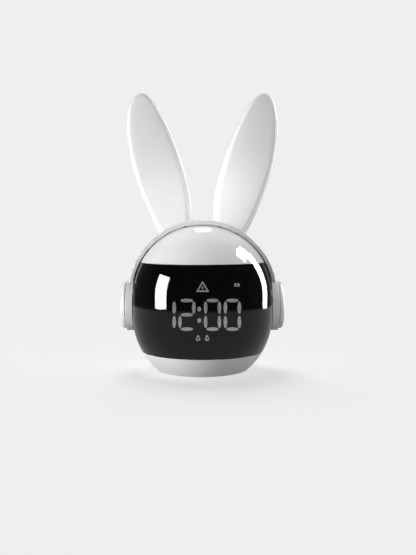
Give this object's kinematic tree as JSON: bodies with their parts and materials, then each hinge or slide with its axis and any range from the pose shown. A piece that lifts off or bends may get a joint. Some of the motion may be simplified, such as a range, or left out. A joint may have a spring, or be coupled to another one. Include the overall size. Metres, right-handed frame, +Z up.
{
  "type": "kids alarm clock with night light",
  "caption": "Round white desk alarm clock with a black see-through front, lamp dome, long rabbit ears and a headband whose cups press as buttons",
  "frame": {"origin": "middle of the foot, on the table", "axes": "+Z up, the clock's face looks along -Y, +X is the viewer's right"},
  "size_m": [0.0954, 0.083, 0.164],
  "materials": {
    "white_shell": "satin",
    "ear_face": "satin",
    "lamp_dome": "gloss, lets light through",
    "headband": "satin",
    "cup_housing": "satin",
    "cup_cap": "satin",
    "smoked_lens": "polished, see-through smoke black",
    "black_liner": "matte",
    "segment_lit": "lit diffuser",
    "segment_off": "unlit diffuser",
    "foot_rubber": "matte",
    "frame_plastic": "matte",
    "screw_steel": "satin",
    "circuit_board": "solder mask",
    "chip_black": "moulded",
    "plunger_black": "moulded",
    "key_white": "satin",
    "socket_steel": "satin",
    "cell_wrap": "film wrap",
    "wire_red": "insulation",
    "ribbon": "film",
    "speaker_frame": "satin",
    "speaker_cone": "paper",
    "lamp_board": "white solder mask",
    "lamp_led": "phosphor",
    "spring_brass": "bright"
  },
  "bodies": {
    "clock": {"base_shell": "white_shell", "rear_shell": "white_shell", "left_ear_shell": "white_shell", "right_ear_shell": "white_shell", "left_ear_face": "ear_face", "right_ear_face": "ear_face", "dome_diffuser": "lamp_dome", "headband": "headband", "left_cup_housing": "cup_housing", "right_cup_housing": "cup_housing", "front_lens": "smoked_lens", "display_mask": "black_liner", "display_reflector": "black_liner", "display_segments_lit": "segment_lit", "display_icons": "segment_lit", "display_segments_off": "segment_off", "foot_ring": "foot_rubber", "core_frame": "frame_plastic", "battery_clamp": "frame_plastic", "base_screws": "screw_steel", "rear_screws": "screw_steel", "dome_screws": "screw_steel", "ear_screws": "screw_steel", "cup_screws": "screw_steel", "display_screws": "screw_steel", "board_screws": "screw_steel", "display_board": "circuit_board", "main_board": "circuit_board", "left_cup_switch": "circuit_board", "right_cup_switch": "circuit_board", "board_chips": "chip_black", "key_switches": "chip_black", "power_switch": "chip_black", "usb_socket": "socket_steel", "battery_cell": "cell_wrap", "switch_leads": "wire_red", "battery_lead": "wire_red", "speaker_lead": "wire_red", "night_light_lead": "wire_red", "display_ribbon": "ribbon", "speaker": "speaker_frame", "speaker_cone": "speaker_cone", "night_light_board": "lamp_board", "night_light_leds": "lamp_led", "touch_spring": "spring_brass"},
    "left_cup": {"left_cup_cap": "cup_cap", "left_switch_plunger": "plunger_black"},
    "right_cup": {"right_cup_cap": "cup_cap", "right_switch_plunger": "plunger_black"},
    "set": {"set_key": "key_white", "set_plunger": "plunger_black"},
    "up": {"up_key": "key_white", "up_plunger": "plunger_black"},
    "down": {"down_key": "key_white", "down_plunger": "plunger_black"},
    "light": {"light_key": "key_white", "light_plunger": "plunger_black"},
    "power": {"power_slider": "key_white"}
  },
  "joints": [
    {"name": "left_cup_press", "type": "slide", "parent": "clock", "child": "left_cup", "axis": [1, 0, 0], "range_m": [0, 0.0008], "stiffness_N_per_m": 1500, "springref_m": -0.0002},
    {"name": "right_cup_press", "type": "slide", "parent": "clock", "child": "right_cup", "axis": [-1, 0, 0], "range_m": [0, 0.0008], "stiffness_N_per_m": 1500, "springref_m": -0.0002},
    {"name": "set_key_press", "type": "slide", "parent": "clock", "child": "set", "axis": [0, -1, 0], "range_m": [0, 0.0006], "stiffness_N_per_m": 1500, "springref_m": -0.0002},
    {"name": "up_key_press", "type": "slide", "parent": "clock", "child": "up", "axis": [0, -1, 0], "range_m": [0, 0.0006], "stiffness_N_per_m": 1500, "springref_m": -0.0002},
    {"name": "down_key_press", "type": "slide", "parent": "clock", "child": "down", "axis": [0, -1, 0], "range_m": [0, 0.0006], "stiffness_N_per_m": 1500, "springref_m": -0.0002},
    {"name": "light_key_press", "type": "slide", "parent": "clock", "child": "light", "axis": [0, -1, 0], "range_m": [0, 0.0006], "stiffness_N_per_m": 1500, "springref_m": -0.0002},
    {"name": "power_slide", "type": "slide", "parent": "clock", "child": "power", "axis": [1, 0, 0], "range_m": [0, 0.003]}
  ]
}
